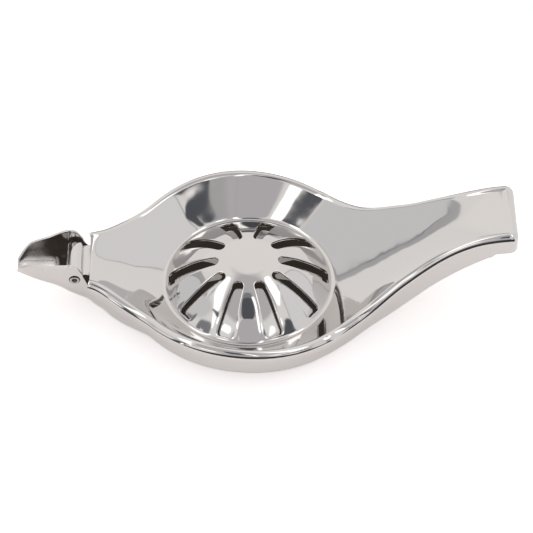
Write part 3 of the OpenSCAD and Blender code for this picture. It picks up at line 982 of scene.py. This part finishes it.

# colour of the painted shade in the pin's bore and round its heads
PAINTED_SHADE = (0.07, 0.065, 0.06)
SATIN_ROUGHNESS = 0.22
PAINTED_GLOW = (0.085, 0.075, 0.066)   # painted glow: a dim light that stands in for what is left after the sheet has mirrored itself many times
PAINTED_GLOW_AFTER = 2.5               # mirrorings


def steel(name, color, low, high, depth):
    """Steel of one colour, with its lowest and highest roughness and the depth of its scratches,
    painted shade round the hinge pin, and a painted glow where it has mirrored itself many times.
    """
    material = new_material(name)
    tree = material.node_tree
    places = shader_node(tree, "Group", node_tree=HINGE).outputs
    marks = shader_node(tree, "Group", {"Rough low": low, "Rough high": high, "Depth": depth},
                        node_tree=MARKS).outputs
    satin = math_node(tree, "MULTIPLY", places["Satin"], SATIN_ROUGHNESS)
    # the base colour turns to painted shade in the pin's bore and round its heads
    metal = shader_node(tree, "BsdfPrincipled", {
        "Metallic": 1,
        "Base Color": mix_color(tree, places["Painted shade"], (*color, 1), (*PAINTED_SHADE, 1)),
        "Roughness": math_node(tree, "ADD", satin, marks["Roughness"]),
        "Normal": marks["Normal"],
    })
    # painted glow: after enough mirrorings the sheet stops mirroring and gives off a dim light of
    # its own, which lights the slots and the gaps between the sheets
    painted_glow = shader_node(tree, "Emission", {"Color": (*PAINTED_GLOW, 1)})
    path = shader_node(tree, "LightPath").outputs
    deep = math_node(tree, "GREATER_THAN", path["Glossy Depth"], PAINTED_GLOW_AFTER)
    blend = shader_node(tree, "MixShader", {0: deep, 1: metal.outputs[0], 2: painted_glow.outputs[0]})
    shader_node(tree, "OutputMaterial", {"Surface": blend.outputs[0]})
    return material


def give(obj, material):
    obj.data.materials.clear()
    obj.data.materials.append(material)


polished_sheet = steel("polished_sheet", (0.66, 0.643, 0.63), 0.03, 0.09, 0.05)
polished_pin = steel("polished_pin", (0.52, 0.50, 0.485), 0.10, 0.2, 0.1)
give(press_plate, polished_sheet)
give(juice_tray, polished_sheet)
give(hinge_pin, polished_pin)


# --- Camera ---

VIEW_ELEVATION = math.radians(47.5)
VIEW_YAW = math.radians(1.2)
VIEW_DISTANCE = 1155          # millimetres along the view, to the middle of the ring
FRAME_PX = 533
FOCAL_PX = 2750
RING_AT_PX = (248.5, 281)     # where the middle of the ring falls in the frame
SENSOR = 36                   # millimetres
NEAR = 0.01                   # metres
FAR = 20


def camera():
    level = math.cos(VIEW_ELEVATION)
    forward = Vector((math.sin(VIEW_YAW) * level, math.cos(VIEW_YAW) * level,
                      -math.sin(VIEW_ELEVATION)))
    right = Vector((math.cos(VIEW_YAW), -math.sin(VIEW_YAW), 0))
    up = right.cross(forward)
    px = VIEW_DISTANCE / FOCAL_PX
    offset = (right * (RING_AT_PX[0] - FRAME_PX / 2) * px - up * (RING_AT_PX[1] - FRAME_PX / 2) * px
              + forward * VIEW_DISTANCE)
    place = (Vector((-MIDDLE_X, 0, PLATE_RING_Z)) - offset) * MM
    data = bpy.data.cameras.new("camera")
    data.sensor_width = SENSOR
    data.lens = FOCAL_PX / FRAME_PX * SENSOR
    data.clip_start = NEAR
    data.clip_end = FAR
    obj = bpy.data.objects.new("camera", data)
    turn = Matrix((right, up, -forward)).transposed().to_4x4()
    obj.matrix_world = Matrix.Translation(place) @ turn
    bpy.context.scene.collection.objects.link(obj)
    bpy.context.scene.camera = obj


camera()


# --- Floor: a low white table. Past its edges the room itself is white to the camera ---

FLOOR_SIZE = 0.32             # metres
FLOOR_BACK = 0.01
FLOOR_DROP = 0.0002           # just under the tray's foot ring
PAPER_LOW = (0.92, 0.875, 0.86)
PAPER_HIGH = (0.94, 0.895, 0.88)
PAPER_GRAIN = 4
PAPER_GLOW = 0.5
MIRRORED_GLOW = 0.55          # share of the glow that the metal mirrors


def seen_glow(tree):
    """1 for what the camera sees itself, and the mirrored share for what it sees in the metal."""
    path = shader_node(tree, "LightPath").outputs
    mirrored = math_node(tree, "MULTIPLY", path["Is Glossy Ray"], MIRRORED_GLOW)
    return math_node(tree, "MAXIMUM", path["Is Camera Ray"], mirrored)


def paper():
    material = new_material("white_paper")
    tree = material.node_tree
    grain = shader_node(tree, "TexNoise", {"Scale": PAPER_GRAIN}).outputs[0]
    white = mix_color(tree, grain, (*PAPER_LOW, 1), (*PAPER_HIGH, 1))
    matt = shader_node(tree, "BsdfDiffuse", {"Color": white})
    strength = math_node(tree, "MULTIPLY", seen_glow(tree), PAPER_GLOW)
    glow = shader_node(tree, "Emission", {"Strength": strength})
    both = shader_node(tree, "AddShader", {0: matt.outputs[0], 1: glow.outputs[0]})
    shader_node(tree, "OutputMaterial", {"Surface": both.outputs[0]})
    return material


deselect()
bpy.ops.mesh.primitive_plane_add(size=FLOOR_SIZE, location=(0, FLOOR_BACK, -FLOOR_DROP))
floor = bpy.context.active_object
floor.name = "floor"
give(floor, paper())


# --- Studio room, as the polished sheet mirrors it: pale walls, bright panels, dark gaps ---
# Places in the room are given in degrees from straight up: x to the right, y to the back.

BRIGHT = (1.7, 1.7, 1.7)
WARM = (0.84, 0.82, 0.80)
PALE = (0.80, 0.785, 0.775)
CLOUD = (0.745, 0.74, 0.75)
COOL = (0.64, 0.635, 0.65)
GREY = (0.50, 0.49, 0.50)
LILAC = (0.49, 0.478, 0.50)
SHADE = (0.42, 0.42, 0.425)
DUSK = (0.22, 0.22, 0.235)
SLATE = (0.09, 0.095, 0.108)
INK = (0.05, 0.05, 0.055)

ROOM_LIGHT = 1.21

# Soft strips, each over those before it: tone, softness, then places (x, y, half width) along it
ROOM = [
    # walls overhead, to the right and to the left, some with a thin dark outline
    (WARM, 8, (-22, 45, 15), (6, 44, 15)),
    (SHADE, 0.8, (44, 18, 19.8), (60, -10, 19.8)),
    (CLOUD, 0.8, (44, 18, 18.8), (60, -10, 18.8)),
    (SHADE, 1.2, (-52, 22, 15.5), (-53, 36, 14), (-59, 50, 10.6)),
    (DUSK, 0.7, (-55, 16, 11.8), (-54, 25, 11.7), (-60.5, 38, 10.7), (-61.3, 46, 11.3)),
    (COOL, 0.7, (-55, 16, 11), (-54, 25, 11), (-60.5, 38, 10), (-61.3, 46, 10.6)),
    (COOL, 5, (-46, -6, 9), (-56, 14, 14)),
    # low at the back
    (GREY, 2, (20, 85, 9), (38, 90, 9)),
    (SLATE, 4, (-8, 90, 9), (12, 90, 11)),
    # ceiling, from the back to the front
    (GREY, 5, (0, 38, 2), (0, -6, 24)),
    (LILAC, 3, (-10, -44, 12), (10, -44, 12)),
    (SHADE, 4, (22, -42, 3), (34, -36, 5)),
    (SHADE, 0.8, (12.5, -50, 0.3), (12.5, -38, 0.3)),
    (SHADE, 0.8, (-9, -46, 0.3), (-9, -36, 0.3)),
    (PALE, 0.8, (-11, -45, 0.6), (-11, -35, 0.6)),
    # bright panels on both sides of a dark gap
    (BRIGHT, 1.5, (-11, 27, 1.2), (-21, 15, 4.2), (-28, 2, 4.5), (-33, -11, 3.5), (-39, -27, 1.5)),
    (BRIGHT, 1.5, (10, 28.5, 1), (17, 15, 3.5), (25, 3, 4.5), (30, -10, 1.5)),
    (DUSK, 3, (-1, 1, 4), (-1, -10, 7)),
    (SLATE, 1.5, (-1, -10, 6.5), (-1, -24, 7)),
    # small panels and gaps, towards the front and the sides
    (LILAC, 1, (-5, -37, 8), (4, -37, 8)),
    (BRIGHT, 1, (4, -3, 1), (8, -20, 1.3), (12, -38, 1.8)),
    (BRIGHT, 1.5, (22, -36, 0.8), (25, -31, 3)),
    (BRIGHT, 2, (38, -43, 1.5), (48, -37, 2)),
    (BRIGHT, 1.5, (-27, -28, 3), (-22.5, -31, 3)),
    (SLATE, 2, (31, -39.5, 3), (37, -34.5, 5), (43, -29.5, 5), (42, -25, 4.5)),
    (DUSK, 2, (-51, -19, 3.5), (-44, -26, 4)),
    (SLATE, 1.5, (-37, -12, 1), (-33, -19, 2.4), (-28, -25, 1)),
    (SLATE, 2, (-54, -30, 7), (-86, -50, 12)),
    # dark band round the front, low down
    (INK, 5, (-114, -12, 24), (-94, -62, 28), (-58, -88, 32), (-10, -92, 34), (22, -90, 34)),
    (INK, 5, (22, -90, 34), (60, -88, 36), (80, -74, 31), (68, -58, 16), (54, -46, 7)),
    # a dark and a bright mark on the left
    (DUSK, 2, (-68, 13, 2), (-60, -3, 3.5)),
    (BRIGHT, 2, (-58, -38, 2), (-70, -48, 2.5)),
]


def strip_group():
    """Mask of a soft-edged strip between two places, with a half width at each."""
    tree, given, results = new_group(
        "soft_strip",
        {"Place": "Vector", "From": "Vector", "To": "Vector",
         "From half": "Float", "To half": "Float", "Soft": "Float"},
        {"Mask": "Float"})

    def vector(operation, inputs, result="Vector"):
        return shader_node(tree, "VectorMath", inputs, operation=operation).outputs[result]

    way = vector("SUBTRACT", {0: given["To"], 1: given["From"]})
    gone = vector("SUBTRACT", {0: given["Place"], 1: given["From"]})
    along = vector("DOT_PRODUCT", {0: gone, 1: way}, "Value")
    whole = vector("DOT_PRODUCT", {0: way, 1: way}, "Value")
    share = math_node(tree, "DIVIDE", along, whole, clamp=True)
    nearest = vector("SCALE", {0: way, "Scale": share})
    off = vector("LENGTH", {0: vector("SUBTRACT", {0: gone, 1: nearest})}, "Value")
    wider = math_node(tree, "SUBTRACT", given["To half"], given["From half"])
    half = math_node(tree, "ADD", given["From half"], math_node(tree, "MULTIPLY", wider, share))
    inside = math_node(tree, "DIVIDE", math_node(tree, "SUBTRACT", half, off), given["Soft"])
    tree.links.new(soft_ramp(tree, inside, -0.5, 0.5), results["Mask"])
    return tree


def strip_mask(tree, group, place, soft, start, end):
    """Mask of one stretch of a strip, between two of its places (x, y, half width)."""
    inputs = {
        "Place": place,
        "From": (*start[:2], 0),
        "To": (*end[:2], 0),
        "From half": start[2],
        "To half": end[2],
        "Soft": soft,
    }
    return shader_node(tree, "Group", inputs, node_tree=group).outputs[0]


def studio_world():
    world = bpy.data.worlds.new("studio")
    bpy.context.scene.world = world
    world.use_nodes = True
    tree = world.node_tree
    tree.nodes.clear()

    way = shader_node(tree, "TexCoord").outputs["Generated"]
    x, y, z = shader_node(tree, "SeparateXYZ", {0: way}).outputs
    level = math_node(tree, "MAXIMUM", length_node(tree, x, y), 0.0001)
    degrees = math_node(tree, "MULTIPLY", math_node(tree, "ARCCOSINE", z), math.degrees(1))
    stretch = math_node(tree, "DIVIDE", degrees, level)
    place = shader_node(tree, "CombineXYZ", {
        0: math_node(tree, "MULTIPLY", x, stretch),
        1: math_node(tree, "MULTIPLY", y, stretch),
    }).outputs[0]

    group = strip_group()
    color = (*PALE, 1)
    for tone, soft, *stops in ROOM:
        mask = 0
        for start, end in zip(stops, stops[1:]):
            stretch_mask = strip_mask(tree, group, place, soft, start, end)
            mask = math_node(tree, "MAXIMUM", mask, stretch_mask)
        color = mix_color(tree, mask, color, (*tone, 1))

    room = shader_node(tree, "Background", {"Color": color, "Strength": ROOM_LIGHT})
    white = shader_node(tree, "Background", {"Color": (1, 1, 1, 1)})
    seen = shader_node(tree, "LightPath").outputs["Is Camera Ray"]
    pick = shader_node(tree, "MixShader", {0: seen, 1: room.outputs[0], 2: white.outputs[0]})
    shader_node(tree, "OutputWorld", {"Surface": pick.outputs[0]})


studio_world()

bpy.context.scene.view_settings.view_transform = "Standard"
